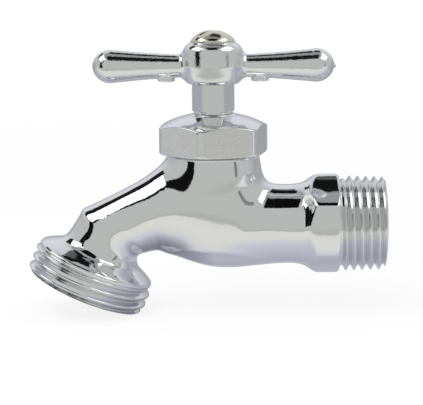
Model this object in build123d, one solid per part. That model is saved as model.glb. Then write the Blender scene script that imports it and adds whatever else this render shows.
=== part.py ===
from build123d import *

import os
from math import cos, radians, sin, sqrt

os.makedirs("parts", exist_ok=True)

# All sizes in mm. Origin: on the inlet axis, at the inlet thread's hand-tight plane. +X leaves the inlet and +Z
# rises along the stem. Heights are measured from the inlet axis, and the pieces are drawn about the stem axis.

# Inlet run
INLET_TO_STEM = 37.6
HAND_TIGHT_LENGTH = 8.1
INLET_THREAD_R = 10.5
INLET_THREAD_LENGTH = 10.1
INLET_THREAD_CHAMFER = 0.8
INLET_RUNOUT = 0.4
INLET_RUNOUT_R = 9.9
INLET_BORE_R = 6.5
TUBE_R = 8.55
BOSS_ACROSS_FLATS = 19.7
BOSS_CORNER_R = 11.1
BOSS_LENGTH = 5.0
BOSS_CHAMFER = 0.5
FLARE_LENGTH = 6.0
FLARE_BULGE = (9.2, 3.2)
TUBE_START = 16.6
GLOBE_R = 9.6
GLOBE_WIDEST = 4.2
GLOBE_CROWN = (9.45, -0.4)
GLOBE_SHOULDER = (8.4, -4.6)
GLOBE_REACH = 12.6
GLOBE_TAIL_R = 4.9

# Neck that carries the packing nut
NECK_TOP_R = 9.95
NECK_R = 10.5
NECK_FOOT_R = 9.0
NECK_WIDEST_Z = 11.9
NECK_SHOULDER_Z = 15.6
SPIGOT_R = 9.0
SPIGOT_TOP_Z = 20.2
NECK_FILLET = 3.0
STEM_THREAD_R = 6.4
THREAD_CLEARANCE = 0.06
STEM_BORE_FLOOR_Z = 9.2

# Bridge and seat
BRIDGE_TOP_Z = 1.2
BRIDGE_THICKNESS = 1.8
SEAT_Z = 2.0
SEAT_OUTER_R = 5.4
SEAT_HOLE_R = 4.0
UPPER_CHAMBER_R = 6.9
LOWER_CHAMBER_R = 7.2
LOWER_CHAMBER_SHIFT = 0.6
BORE_END_GAP = 1.8

# Spout and hose end
OUTLET_TILT = 23.2
OUTLET_RIM_REACH = 28.8
OUTLET_RIM_DROP = 14.5
HOSE_THREAD_R = 13.49
HOSE_THREAD_CHAMFER = 0.8
HOSE_THREAD_LENGTH = 5.5
HOSE_FLANGE_R = 13.15
HOSE_FLANGE_TOP = 6.7
HOSE_FLANGE_LIP = 0.3
HOSE_BORE_R = 9.4
HOSE_BORE_DEPTH = 6.0
HOSE_THROAT_R = 6.2
HOSE_THROAT_DEPTH = 9.5

# Spout sections: reach from the stem axis, height, fall of the direction in degrees, half height, half width
SPOUT_SECTIONS = [
    (1.0, 5.0, 15, 9.2, 9.2),
    (7.5, 4.5, 20, 9.6, 8.8),
    (15.2, 1.6, 25, 7.7, 7.9),
    (18.8, 0.2, 32, 7.6, 7.8),
    (22.3, -1.9, 54, 8.25, 8.1),
]
SPOUT_END_DEPTH = 9.5
SPOUT_END_R = 8.3
FLARE_TOP = 11.4
FLARE_TOP_R = 7.8
FLARE_MIDDLE = (9.7, 8.35)
WATERWAY_SECTIONS = [
    (1.5, 5.9, 8, 3.9, 4.4),
    (8.0, 5.2, 16, 4.6, 5.2),
    (15.5, 2.0, 30, 5.4, 5.6),
    (21.2, -1.6, 48, 5.7, 5.7),
]
WATERWAY_OVERLAP = 0.8
WATERWAY_STEP = 0.45

# Packing nut
NUT_ACROSS_FLATS = 21.9
NUT_CORNER_R = 12.22
NUT_TURN = 17.6
NUT_BOTTOM_Z = 15.9
NUT_FACE_CHAMFER = 0.35
NUT_SIDE_TOP_Z = 21.75
NUT_TOP_Z = 24.55
NUT_COLLAR_R = 5.2
NUT_SHOULDER_R = 9.0
NUT_SHOULDER_RISE = 0.25
NUT_THREAD_CLEARANCE = 0.06
NUT_THREAD_TOP_Z = 21.05
PACKING_CHAMBER_R = 6.5
PACKING_CEILING_Z = 23.25

# Packing parts
THRUST_WASHER_R = 8.6
THRUST_WASHER_T = 0.8
PACKING_T = 1.35
GLAND_T = 0.8
PACKING_SIDE_GAP = 0.05
STACK_GAP = 0.02

# Stem
SPINDLE_R = 3.3
SPINDLE_CLEARANCE = 0.05
BARREL_BOTTOM_Z = 8.4
BARREL_TOP_Z = 14.8
STEM_WAIST_R = 4.6
CUP_R = 6.25
CUP_TOP_Z = 6.4
CUP_RIM_Z = 3.1
CUP_RECESS_R = 5.9
SQUARE_SIDE = 5.0
SQUARE_LENGTH = 6.7
STEM_END_GAP = 0.2
SCREW_HOLE_BELOW_TIP = 0.8

# Seat washer and its screw
WASHER_R = 5.85
WASHER_BOTTOM_Z = 2.02
WASHER_T = 2.98
WASHER_SCREW_R = 1.45
WASHER_SCREW_HEAD_R = 3.0
WASHER_SCREW_HEAD_T = 1.2
WASHER_SCREW_TIP_Z = 9.4
SCREW_CLEARANCE = 0.05

# Handle
HUB_R = 6.75
HUB_PARTING_Z = 34.3
HUB_BAND_Z = 32.8
HUB_BOTTOM_Z = 30.95
HUB_BOTTOM_R = 5.6
HUB_BOTTOM_BULGE = 0.45
HUB_TOP_Z = 40.1
HUB_TOP_R = 5.5
HUB_SIDE_BULGE = 0.22
HUB_SHOULDER_R = 6.5
HUB_SHOULDER_DROP = 1.3
HUB_CORNER_BULGE = 0.12
HUB_ROOF = 1.6
HUB_BOSS_ACROSS_FLATS = 8.1
HUB_BOSS_BOTTOM_Z = 24.75
ARM_Z = 34.95
ARM_HALF_SPAN = 26.4
ARM_ROOT_R = 2.7
ARM_ROOT_REACH = 3.0
ARM_END_R = 3.9
ARM_SHIFT = 0.05
ARM_PAD_R = 1.9
ARM_PAD_OFFSET = 10.2
ARM_PAD_BOTTOM_Z = 31.3
SOCKET_CLEARANCE = 0.05

# Handle screw
HANDLE_SCREW_R = 1.6
HANDLE_SCREW_HEAD_R = 4.9
HANDLE_SCREW_HEAD_T = 2.6
HANDLE_SCREW_LIP = 0.45
HANDLE_SCREW_SLOT_W = 1.1
HANDLE_SCREW_SLOT_D = 1.2
HANDLE_SCREW_SLOT_TURN = -56.0
HANDLE_SCREW_LENGTH = 9.1

SOCKET_TOP_Z = HUB_TOP_Z - HUB_ROOF
STEM_TOP_Z = SOCKET_TOP_Z - STEM_END_GAP
SQUARE_BOTTOM_Z = STEM_TOP_Z - SQUARE_LENGTH
HANDLE_SCREW_TIP_Z = HUB_TOP_Z - HANDLE_SCREW_LENGTH

STEM = Pos(HAND_TIGHT_LENGTH - INLET_TO_STEM, 0, 0)
TILT = radians(OUTLET_TILT)


def turned(points):
    """A solid of revolution about Z from a closed outline of (radius, height) points."""
    outline = Plane.XZ * make_face(Polyline(*points, close=True))
    return revolve(outline, Axis.Z)


def turned_profile(edges):
    """A solid of revolution about Z from outline edges drawn with radius as x and height as y."""
    return revolve(Plane.XZ * make_face(edges), Axis.Z)


def hex_prism(across_flats, height):
    """A six-sided prism standing on z = 0 with two corners on the X axis."""
    return extrude(RegularPolygon(across_flats / sqrt(3), 6), height)


def along_x(solid):
    """Turns a solid built about +Z so that its axis lies along +X."""
    return Rot(0, 90, 0) * solid


def outlet_frame():
    """Places a solid built about +Z on the outlet axis, with z = 0 at the rim and +Z into the spout."""
    return Pos(-OUTLET_RIM_REACH, 0, -OUTLET_RIM_DROP) * Rot(0, OUTLET_TILT, 0)


def spout_section(reach, height, fall, half_height, half_width):
    """One cross-section of the spout: its centre, the fall of its direction in degrees, and its half sizes."""
    angle = radians(fall)
    plane = Plane(origin=(-reach, 0, height), x_dir=(0, 1, 0), z_dir=(-cos(angle), 0, -sin(angle)))
    return plane * Ellipse(half_width, half_height)


def spout_end(depth, radius):
    """A round cross-section on the outlet axis, at a depth above the rim."""
    reach = OUTLET_RIM_REACH - depth * sin(TILT)
    height = depth * cos(TILT) - OUTLET_RIM_DROP
    return spout_section(reach, height, 90 - OUTLET_TILT, radius, radius)


def spout_outside():
    """The spout from inside the globe down into the hose end's flare, as one loft."""
    bend = [spout_section(*values) for values in SPOUT_SECTIONS]
    return loft([*bend, spout_end(SPOUT_END_DEPTH, SPOUT_END_R)])


def spout_waterway():
    bend = [spout_section(*values) for values in WATERWAY_SECTIONS]
    return loft([*bend, spout_end(HOSE_THROAT_DEPTH - WATERWAY_OVERLAP, HOSE_THROAT_R - WATERWAY_STEP)])


def hose_end():
    """The hose thread's envelope, the flange above it and the flare that runs up the spout."""
    step = HOSE_THREAD_R - HOSE_FLANGE_R
    flare_foot = (HOSE_FLANGE_R - HOSE_FLANGE_LIP, HOSE_FLANGE_TOP)
    outline = Polyline(
        (0, FLARE_TOP),
        (0, 0),
        (HOSE_THREAD_R - HOSE_THREAD_CHAMFER, 0),
        (HOSE_THREAD_R, HOSE_THREAD_CHAMFER),
        (HOSE_THREAD_R, HOSE_THREAD_LENGTH),
        (HOSE_FLANGE_R, HOSE_THREAD_LENGTH + step),
        (HOSE_FLANGE_R, HOSE_FLANGE_TOP - HOSE_FLANGE_LIP),
        flare_foot,
    ).edges()
    flare = ThreePointArc(flare_foot, FLARE_MIDDLE, (FLARE_TOP_R, FLARE_TOP))
    cap = Line((FLARE_TOP_R, FLARE_TOP), (0, FLARE_TOP))
    return outlet_frame() * turned_profile([*outline, flare, cap])


def hose_bore():
    return outlet_frame() * turned(
        [
            (0, -1),
            (HOSE_BORE_R, -1),
            (HOSE_BORE_R, HOSE_BORE_DEPTH),
            (HOSE_THROAT_R, HOSE_THROAT_DEPTH),
            (0, HOSE_THROAT_DEPTH),
        ]
    )


def globe_and_tube():
    """The bulb under the stem and the tube towards the inlet, as one turned shape about the inlet axis."""
    tube_end = INLET_TO_STEM - INLET_THREAD_LENGTH
    crown = ThreePointArc(GLOBE_SHOULDER, GLOBE_CROWN, (GLOBE_R, GLOBE_WIDEST))
    rest = Polyline(
        (GLOBE_R, GLOBE_WIDEST),
        (TUBE_R, TUBE_START),
        (TUBE_R, tube_end),
        (0, tube_end),
        (0, -GLOBE_REACH),
        (GLOBE_TAIL_R, -GLOBE_REACH),
        GLOBE_SHOULDER,
    ).edges()
    return along_x(turned_profile([crown, *rest]))


def wrench_boss():
    """The six-sided boss with the flare that its flats run out into."""
    end = INLET_TO_STEM - INLET_THREAD_LENGTH
    start = end - BOSS_LENGTH
    bulge_r, bulge_reach = FLARE_BULGE
    flare = ThreePointArc(
        (TUBE_R - 0.05, start - FLARE_LENGTH),
        (bulge_r, start - FLARE_LENGTH + bulge_reach),
        (BOSS_CORNER_R, start),
    )
    rest = Polyline(
        (BOSS_CORNER_R, start),
        (BOSS_CORNER_R, end - BOSS_CHAMFER),
        (BOSS_CORNER_R - BOSS_CHAMFER, end),
        (0, end),
        (0, start - FLARE_LENGTH),
        (TUBE_R - 0.05, start - FLARE_LENGTH),
    ).edges()
    core = along_x(turned_profile([flare, *rest]))
    prism = Pos(start - FLARE_LENGTH, 0, 0) * along_x(hex_prism(BOSS_ACROSS_FLATS, BOSS_LENGTH + FLARE_LENGTH))
    return core & prism


def inlet_thread():
    """The inlet thread's envelope, with the shallow run-out between its last turn and the boss."""
    boss_face = INLET_TO_STEM - INLET_THREAD_LENGTH
    start = boss_face - BOSS_CHAMFER
    return along_x(
        turned(
            [
                (0, start),
                (INLET_RUNOUT_R, start),
                (INLET_RUNOUT_R, boss_face + INLET_RUNOUT),
                (INLET_THREAD_R, boss_face + INLET_RUNOUT),
                (INLET_THREAD_R, INLET_TO_STEM - INLET_THREAD_CHAMFER),
                (INLET_THREAD_R - INLET_THREAD_CHAMFER, INLET_TO_STEM),
                (0, INLET_TO_STEM),
            ]
        )
    )


def neck():
    return turned(
        [
            (0, -2),
            (NECK_FOOT_R, -2),
            (NECK_R, NECK_WIDEST_Z),
            (NECK_TOP_R, NECK_SHOULDER_Z),
            (0, NECK_SHOULDER_Z),
        ]
    )


def neck_spigot():
    return turned(
        [
            (0, NECK_SHOULDER_Z - 1),
            (SPIGOT_R, NECK_SHOULDER_Z - 1),
            (SPIGOT_R, SPIGOT_TOP_Z - 0.4),
            (SPIGOT_R - 0.4, SPIGOT_TOP_Z),
            (0, SPIGOT_TOP_Z),
        ]
    )


def lower_waterway():
    """Inlet bore, and the chamber below the bridge that leads it to the seat."""
    under_bridge = BRIDGE_TOP_Z - BRIDGE_THICKNESS
    bore_end = UPPER_CHAMBER_R + BORE_END_GAP
    mouth = INLET_TO_STEM + 1
    bore = along_x(turned([(0, bore_end), (INLET_BORE_R, bore_end), (INLET_BORE_R, mouth), (0, mouth)]))
    ball = Pos(LOWER_CHAMBER_SHIFT, 0, 0) * Sphere(LOWER_CHAMBER_R)
    link_start = bore_end - LOWER_CHAMBER_R
    link_end = bore_end + 1
    link = along_x(turned([(0, link_start), (INLET_BORE_R, link_start), (INLET_BORE_R, link_end), (0, link_end)]))
    side = 4 * LOWER_CHAMBER_R
    below = Pos(0, 0, under_bridge - side / 2) * Box(side, side, side)
    return bore + ((ball + link) & below)


def upper_waterway():
    """Chamber above the bridge with the raised seat standing in it, and the threaded bore of the stem."""
    chamber = turned(
        [
            (0, SEAT_Z),
            (SEAT_OUTER_R - 0.4, SEAT_Z),
            (SEAT_OUTER_R, BRIDGE_TOP_Z),
            (UPPER_CHAMBER_R, BRIDGE_TOP_Z),
            (UPPER_CHAMBER_R, STEM_BORE_FLOOR_Z - 0.5),
            (STEM_THREAD_R + THREAD_CLEARANCE, STEM_BORE_FLOOR_Z),
            (STEM_THREAD_R + THREAD_CLEARANCE, SPIGOT_TOP_Z + 1),
            (0, SPIGOT_TOP_Z + 1),
        ]
    )
    seat_post = SEAT_OUTER_R + 0.01
    spout = spout_waterway() - turned([(0, -9), (seat_post, -9), (seat_post, SEAT_Z), (0, SEAT_Z)])
    floor = Pos(0, 0, BRIDGE_TOP_Z - 5) * Cylinder(UPPER_CHAMBER_R + 0.6, 10)
    return chamber + (spout - floor)


def seat_hole():
    return Pos(0, 0, SEAT_Z / 2) * Cylinder(SEAT_HOLE_R, SEAT_Z + 5)


def run_and_neck():
    """Inlet run and neck, with the line where the neck leaves the tube and the globe rounded."""
    joined = globe_and_tube() + wrench_boss() + inlet_thread() + neck()
    neck_wall = [
        face
        for face in joined.faces().filter_by(GeomType.CONE)
        if abs(face.bounding_box().max.Z - NECK_WIDEST_Z) < 0.01
    ]
    foot = [
        edge
        for edge in ShapeList(neck_wall).edges()
        if edge.geom_type != GeomType.LINE and edge.bounding_box().max.Z < NECK_WIDEST_Z - 0.1
    ]
    return fillet(foot, NECK_FILLET)


def body():
    outside = run_and_neck() + (spout_outside() + hose_end()) + neck_spigot()
    inside = lower_waterway() + upper_waterway() + seat_hole() + hose_bore()
    return STEM * (outside - inside)


def stem():
    profile = turned(
        [
            (0, CUP_RIM_Z + 1.92),
            (CUP_RECESS_R, CUP_RIM_Z + 1.92),
            (CUP_RECESS_R, CUP_RIM_Z),
            (CUP_R, CUP_RIM_Z),
            (CUP_R, CUP_TOP_Z - 0.4),
            (CUP_R - 0.4, CUP_TOP_Z),
            (STEM_WAIST_R, CUP_TOP_Z),
            (STEM_WAIST_R, BARREL_BOTTOM_Z),
            (STEM_THREAD_R - 0.7, BARREL_BOTTOM_Z),
            (STEM_THREAD_R, BARREL_BOTTOM_Z + 0.7),
            (STEM_THREAD_R, BARREL_TOP_Z - 0.6),
            (STEM_THREAD_R - 0.6, BARREL_TOP_Z),
            (SPINDLE_R, BARREL_TOP_Z),
            (SPINDLE_R, STEM_TOP_Z - 0.3),
            (SPINDLE_R - 0.3, STEM_TOP_Z),
            (0, STEM_TOP_Z),
        ]
    )
    head = STEM_TOP_Z - SQUARE_BOTTOM_Z
    flats = Cylinder(SPINDLE_R + 1, head) - Box(SQUARE_SIDE, SQUARE_SIDE, head)
    flats = Pos(0, 0, SQUARE_BOTTOM_Z + head / 2) * flats
    hole_depth = STEM_TOP_Z - HANDLE_SCREW_TIP_Z + SCREW_HOLE_BELOW_TIP
    top_hole = Pos(0, 0, STEM_TOP_Z - hole_depth / 2) * Cylinder(HANDLE_SCREW_R + SCREW_CLEARANCE, hole_depth + 0.1)
    low_hole = Pos(0, 0, CUP_RIM_Z + 4) * Cylinder(WASHER_SCREW_R + SCREW_CLEARANCE, 7)
    return STEM * (profile - flats - top_hole - low_hole)


def seat_washer():
    hole = WASHER_SCREW_R + SCREW_CLEARANCE
    top = WASHER_BOTTOM_Z + WASHER_T
    return STEM * turned(
        [
            (hole, WASHER_BOTTOM_Z),
            (WASHER_R - 0.3, WASHER_BOTTOM_Z),
            (WASHER_R, WASHER_BOTTOM_Z + 0.3),
            (WASHER_R, top),
            (hole, top),
        ]
    )


def washer_screw():
    head_top = WASHER_BOTTOM_Z - STACK_GAP
    head_bottom = head_top - WASHER_SCREW_HEAD_T
    screw = turned(
        [
            (0, head_bottom),
            (WASHER_SCREW_HEAD_R - 0.6, head_bottom),
            (WASHER_SCREW_HEAD_R, head_bottom + 0.5),
            (WASHER_SCREW_HEAD_R, head_top),
            (WASHER_SCREW_R, head_top),
            (WASHER_SCREW_R, WASHER_SCREW_TIP_Z),
            (0, WASHER_SCREW_TIP_Z),
        ]
    )
    slot = Pos(0, 0, head_bottom) * Box(2 * WASHER_SCREW_HEAD_R + 1, 0.8, 1.0)
    return STEM * (screw - slot)


def packing_nut():
    side = NUT_CORNER_R
    slope = (NUT_TOP_Z - NUT_SIDE_TOP_Z) / (side - NUT_COLLAR_R)
    shoulder_z = NUT_SIDE_TOP_Z + slope * (side - NUT_SHOULDER_R) + NUT_SHOULDER_RISE
    hole = SPINDLE_R + SPINDLE_CLEARANCE
    blank = turned(
        [
            (hole, NUT_BOTTOM_Z),
            (NUT_ACROSS_FLATS / 2 - 0.3, NUT_BOTTOM_Z),
            (side, NUT_BOTTOM_Z + NUT_FACE_CHAMFER),
            (side, NUT_SIDE_TOP_Z),
            (NUT_SHOULDER_R, shoulder_z),
            (NUT_COLLAR_R, NUT_TOP_Z),
            (hole, NUT_TOP_Z),
        ]
    )
    prism = Pos(0, 0, NUT_BOTTOM_Z) * Rot(0, 0, NUT_TURN) * hex_prism(NUT_ACROSS_FLATS, 12)
    thread_r = SPIGOT_R + NUT_THREAD_CLEARANCE
    inside = turned(
        [
            (0, NUT_BOTTOM_Z - 1),
            (thread_r, NUT_BOTTOM_Z - 1),
            (thread_r, NUT_THREAD_TOP_Z),
            (PACKING_CHAMBER_R, NUT_THREAD_TOP_Z),
            (PACKING_CHAMBER_R, PACKING_CEILING_Z),
            (0, PACKING_CEILING_Z),
        ]
    )
    return STEM * ((blank & prism) - inside)


def flat_ring(bottom, thickness, inner, outer):
    top = bottom + thickness
    return STEM * turned([(inner, bottom), (outer, bottom), (outer, top), (inner, top)])


def thrust_washer():
    return flat_ring(SPIGOT_TOP_Z + STACK_GAP, THRUST_WASHER_T, SPINDLE_R + SPINDLE_CLEARANCE, THRUST_WASHER_R)


def packing_ring():
    bottom = SPIGOT_TOP_Z + THRUST_WASHER_T + 2 * STACK_GAP
    return flat_ring(bottom, PACKING_T, SPINDLE_R + SPINDLE_CLEARANCE, PACKING_CHAMBER_R - PACKING_SIDE_GAP)


def gland_ring():
    bottom = SPIGOT_TOP_Z + THRUST_WASHER_T + PACKING_T + 3 * STACK_GAP
    return flat_ring(bottom, GLAND_T, SPINDLE_R + SPINDLE_CLEARANCE, PACKING_CHAMBER_R - PACKING_SIDE_GAP)


def handle_arm():
    """One arm about +Z from the hub's centre: a cone that widens to a ball end."""
    ball_centre = ARM_HALF_SPAN - ARM_END_R
    edges = [
        Line((ARM_ROOT_R, ARM_ROOT_REACH), (ARM_END_R, ball_centre)),
        ThreePointArc(
            (ARM_END_R, ball_centre),
            (ARM_END_R * sqrt(0.5), ball_centre + ARM_END_R * sqrt(0.5)),
            (0, ARM_HALF_SPAN),
        ),
        Line((0, ARM_HALF_SPAN), (0, ARM_ROOT_REACH)),
        Line((0, ARM_ROOT_REACH), (ARM_ROOT_R, ARM_ROOT_REACH)),
    ]
    return turned_profile(edges)


def bulged(start, end, bulge):
    """An arc between two outline points that stands out from their chord by the bulge, away from the axis."""
    (r0, z0), (r1, z1) = start, end
    span = sqrt((r1 - r0) ** 2 + (z1 - z0) ** 2)
    middle = ((r0 + r1) / 2 + bulge * (z1 - z0) / span, (z0 + z1) / 2 - bulge * (r1 - r0) / span)
    return ThreePointArc(start, middle, end)


def handle_hub():
    shoulder = (HUB_SHOULDER_R, HUB_TOP_Z - HUB_SHOULDER_DROP)
    edges = [
        bulged((HUB_BOTTOM_R, HUB_BOTTOM_Z), (HUB_R, HUB_BAND_Z), HUB_BOTTOM_BULGE),
        Line((HUB_R, HUB_BAND_Z), (HUB_R, HUB_PARTING_Z)),
        bulged((HUB_R, HUB_PARTING_Z), shoulder, HUB_SIDE_BULGE),
        bulged(shoulder, (HUB_TOP_R, HUB_TOP_Z), HUB_CORNER_BULGE),
        Line((HUB_TOP_R, HUB_TOP_Z), (0, HUB_TOP_Z)),
        Line((0, HUB_TOP_Z), (0, HUB_BOTTOM_Z)),
        Line((0, HUB_BOTTOM_Z), (HUB_BOTTOM_R, HUB_BOTTOM_Z)),
    ]
    return turned_profile(edges)


def handle():
    right = Pos(ARM_SHIFT, 0, ARM_Z) * Rot(0, 90, 0) * handle_arm()
    left = Pos(ARM_SHIFT, 0, ARM_Z) * Rot(0, -90, 0) * handle_arm()
    pads = [
        Pos(sx * ARM_PAD_OFFSET, 0, (ARM_PAD_BOTTOM_Z + ARM_Z) / 2) * Cylinder(ARM_PAD_R, ARM_Z - ARM_PAD_BOTTOM_Z)
        for sx in (-1, 1)
    ]
    boss_height = HUB_BOTTOM_Z + 1 - HUB_BOSS_BOTTOM_Z
    boss = Pos(0, 0, HUB_BOSS_BOTTOM_Z) * hex_prism(HUB_BOSS_ACROSS_FLATS, boss_height)
    casting = handle_hub() + right + left + pads[0] + pads[1] + boss
    round_bore = turned(
        [
            (0, HUB_BOSS_BOTTOM_Z - 1),
            (SPINDLE_R + SPINDLE_CLEARANCE, HUB_BOSS_BOTTOM_Z - 1),
            (SPINDLE_R + SPINDLE_CLEARANCE, SQUARE_BOTTOM_Z),
            (0, SQUARE_BOTTOM_Z),
        ]
    )
    socket_side = SQUARE_SIDE + 2 * SOCKET_CLEARANCE
    socket_height = SOCKET_TOP_Z - SQUARE_BOTTOM_Z
    socket = Pos(0, 0, SQUARE_BOTTOM_Z + socket_height / 2) * (
        Box(socket_side, socket_side, socket_height) & Cylinder(SPINDLE_R + SPINDLE_CLEARANCE, socket_height)
    )
    screw_hole = Pos(0, 0, HUB_TOP_Z - 1) * Cylinder(HANDLE_SCREW_R + SCREW_CLEARANCE, 4)
    return STEM * (casting - round_bore - socket - screw_hole)


def handle_screw():
    seat = HUB_TOP_Z + STACK_GAP
    dome = ThreePointArc(
        (HANDLE_SCREW_HEAD_R, seat + HANDLE_SCREW_LIP),
        (3.15, seat + 1.93),
        (0, seat + HANDLE_SCREW_HEAD_T),
    )
    rest = Polyline(
        (0, seat + HANDLE_SCREW_HEAD_T),
        (0, HANDLE_SCREW_TIP_Z),
        (HANDLE_SCREW_R - 0.5, HANDLE_SCREW_TIP_Z),
        (HANDLE_SCREW_R, HANDLE_SCREW_TIP_Z + 0.5),
        (HANDLE_SCREW_R, seat),
        (HANDLE_SCREW_HEAD_R, seat),
        (HANDLE_SCREW_HEAD_R, seat + HANDLE_SCREW_LIP),
    ).edges()
    screw = turned_profile([dome, *rest])
    slot_bottom = seat + HANDLE_SCREW_HEAD_T - HANDLE_SCREW_SLOT_D
    slot = Box(HANDLE_SCREW_SLOT_W, 2 * HANDLE_SCREW_HEAD_R + 2, 4)
    slot = Pos(0, 0, slot_bottom + 2) * Rot(0, 0, HANDLE_SCREW_SLOT_TURN) * slot
    return STEM * (screw - slot)


PARTS = {
    "body": body,
    "packing_nut": packing_nut,
    "thrust_washer": thrust_washer,
    "packing_ring": packing_ring,
    "gland_ring": gland_ring,
    "stem": stem,
    "seat_washer": seat_washer,
    "washer_screw": washer_screw,
    "handle": handle,
    "handle_screw": handle_screw,
}

for name, build in PARTS.items():
    solid = build()
    export_step(solid, f"parts/{name}.step")
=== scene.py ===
"""The looks of a chrome-plated hose bibb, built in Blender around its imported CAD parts."""

from math import cos, pi, radians, sin, sqrt, tan

import bpy
import numpy as np
from bpy.props import FloatProperty, FloatVectorProperty, PointerProperty
from mathutils import Matrix, Vector


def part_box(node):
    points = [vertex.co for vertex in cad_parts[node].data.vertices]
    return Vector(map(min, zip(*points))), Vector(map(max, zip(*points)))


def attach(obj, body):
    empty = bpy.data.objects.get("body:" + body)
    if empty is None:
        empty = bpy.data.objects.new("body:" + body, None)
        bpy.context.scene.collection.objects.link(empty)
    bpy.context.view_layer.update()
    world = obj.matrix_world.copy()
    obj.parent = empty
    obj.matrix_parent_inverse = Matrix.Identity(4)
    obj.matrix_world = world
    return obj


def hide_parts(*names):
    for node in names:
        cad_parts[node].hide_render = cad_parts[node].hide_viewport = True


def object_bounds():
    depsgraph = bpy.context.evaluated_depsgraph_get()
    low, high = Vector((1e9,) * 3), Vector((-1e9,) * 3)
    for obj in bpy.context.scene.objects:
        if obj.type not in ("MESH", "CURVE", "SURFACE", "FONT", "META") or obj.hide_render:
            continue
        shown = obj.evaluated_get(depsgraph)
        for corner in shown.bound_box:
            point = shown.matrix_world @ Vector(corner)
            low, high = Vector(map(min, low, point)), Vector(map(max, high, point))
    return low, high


bl_info = {
    "name": "Hose Bibb",
    "version": (1, 0, 0),
    "blender": (4, 5, 0),
    "location": "View3D > Sidebar > Hose Bibb",
    "description": "Dresses the packed parts of a hose bibb and sets its studio",
    "category": "Object",
}

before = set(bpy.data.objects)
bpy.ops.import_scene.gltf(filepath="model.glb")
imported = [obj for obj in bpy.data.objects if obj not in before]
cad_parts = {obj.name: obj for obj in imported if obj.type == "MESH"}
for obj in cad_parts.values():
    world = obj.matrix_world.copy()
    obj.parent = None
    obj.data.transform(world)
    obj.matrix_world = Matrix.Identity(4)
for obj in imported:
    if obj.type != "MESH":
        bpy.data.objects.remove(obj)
CAD_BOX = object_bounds()

MM = 0.001

# The stem's axis, in mm from the origin. Shapes are drawn about it, with heights from the inlet's axis.
STEM_LOW, STEM_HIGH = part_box("stem")
STEM_X = (STEM_LOW.x + STEM_HIGH.x) / 2 / MM

# The hose end's rim, and where the inlet thread starts and ends
OUTLET_TILT = radians(23.2)
OUTLET_REACH = 28.8
OUTLET_DROP = 14.5
BOSS_FACE = 27.5
INLET_END = 37.6


# ---------------- colour and nodes


def linear(code):
    """An sRGB hex colour as linear RGBA."""
    values = [int(code[i : i + 2], 16) / 255 for i in (1, 3, 5)]
    return (*[v / 12.92 if v <= 0.04045 else ((v + 0.055) / 1.055) ** 2.4 for v in values], 1.0)


def add(tree, kind, inputs=None, **settings):
    """Adds one node with its settings. Inputs are values or other nodes' outputs, by name or place."""
    node = tree.nodes.new(kind)
    for name, value in settings.items():
        setattr(node, name, value)
    for name, value in (inputs or {}).items():
        if isinstance(value, bpy.types.NodeSocket):
            tree.links.new(value, node.inputs[name])
        else:
            node.inputs[name].default_value = value
    return node


def material(name):
    """An empty material, its node tree and its output."""
    made = bpy.data.materials.new(name)
    made.use_nodes = True
    made.node_tree.nodes.clear()
    return made, made.node_tree, add(made.node_tree, "ShaderNodeOutputMaterial")


def noise(tree, place, scale, detail, roughness=0.5):
    """Noise between 0 and 1, with about as many patches to the metre as the scale."""
    inputs = {"Vector": place, "Scale": scale, "Detail": detail, "Roughness": roughness}
    return add(tree, "ShaderNodeTexNoise", inputs).outputs["Fac"]


def spread(tree, value, start, end, low=0.0, high=1.0):
    """A value that runs from start to end, made to run from low to high and held there."""
    inputs = {"Value": value, "From Min": start, "From Max": end, "To Min": low, "To Max": high}
    return add(tree, "ShaderNodeMapRange", inputs).outputs["Result"]


def sheen(tree, patches, low, high):
    """Roughness that wanders between low and high with a noise, most of which lies between 0.3 and 0.7."""
    return spread(tree, patches, 0.3, 0.7, low, high)


def blended(tree, factor, first, second):
    """The first colour where the factor is 0, and the second where it is 1."""
    inputs = {"Factor": factor, "A": first, "B": second}
    return add(tree, "ShaderNodeMix", inputs, data_type="RGBA").outputs["Result"]


def ramp(tree, value, stops):
    """Colours along a value. Stops are (place, code), in order."""
    node = add(tree, "ShaderNodeValToRGB", {"Fac": value})
    elements = node.color_ramp.elements
    for element, (place, code) in zip(elements, (stops[0], stops[-1])):
        element.position, element.color = place, linear(code)
    for place, code in stops[1:-1]:
        elements.new(place).color = linear(code)
    return node.outputs["Color"]


def product(tree, one, other):
    """Two values multiplied."""
    return add(tree, "ShaderNodeMath", {0: one, 1: other}, operation="MULTIPLY").outputs[0]


def distance(tree, place, point):
    """Distance from a point, in metres."""
    return add(tree, "ShaderNodeVectorMath", {0: place, 1: point}, operation="DISTANCE").outputs["Value"]


def bump(tree, height, strength, depth, over=None):
    """The normal of a relief that is depth metres deep, laid over another normal if one is given."""
    inputs = {"Strength": strength, "Distance": depth, "Height": height}
    if over is not None:
        inputs["Normal"] = over
    return add(tree, "ShaderNodeBump", inputs).outputs["Normal"]


def surface(tree, output, colour, roughness, normal, **others):
    """Ends a material with its surface."""
    inputs = {"Base Color": colour, "Roughness": roughness, "Normal": normal, **others}
    shader = add(tree, "ShaderNodeBsdfPrincipled", inputs)
    tree.links.new(shader.outputs["BSDF"], output.inputs["Surface"])


# ---------------- shapes as distance fields, in mm


def smooth_line(stations, values, at):
    """A smooth curve through the values, read at any stations and held level past its ends."""
    x = np.asarray(stations, float)
    y = np.asarray(values, float)
    slope = np.gradient(y, x)
    at = np.clip(at, x[0], x[-1])
    i = np.clip(np.searchsorted(x, at) - 1, 0, len(x) - 2)
    step = x[i + 1] - x[i]
    t = (at - x[i]) / step
    return (
        (1 + 2 * t) * (1 - t) ** 2 * y[i]
        + t * (1 - t) ** 2 * step * slope[i]
        + t * t * (3 - 2 * t) * y[i + 1]
        + t * t * (t - 1) * step * slope[i + 1]
    )


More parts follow.
